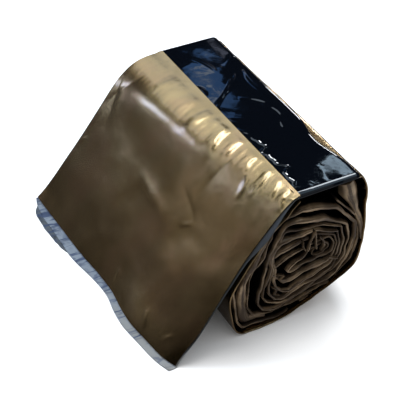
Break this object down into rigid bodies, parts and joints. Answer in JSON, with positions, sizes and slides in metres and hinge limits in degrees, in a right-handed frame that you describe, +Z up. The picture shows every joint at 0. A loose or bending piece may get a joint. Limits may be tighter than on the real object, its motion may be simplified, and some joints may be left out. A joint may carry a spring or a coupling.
{
  "type": "rolled emergency sleeping bag",
  "caption": "Film sleeping bag wound into a roll, its loose mouth end hanging down in front to the ground, with a glossy black band along the top",
  "frame": {"origin": "centre of the flat spot under the roll, on the surface that the roll lies on", "axes": "+X along the roll towards the end where the picture shows its winding, -Y towards the hanging loose end, +Z up"},
  "size_m": [0.1275, 0.1046, 0.0653],
  "materials": {
    "bronze_film": "metallised bronze film, glossy, softly creased",
    "silver_film": "metallised silver film, pale and finely crumpled",
    "black_gloss_film": "black film, mirror gloss"
  },
  "bodies": {
    "root": {"rolled_film": "bronze_film", "front_panel": "bronze_film", "back_panel": "silver_film", "black_band": "black_gloss_film"}
  },
  "joints": []
}
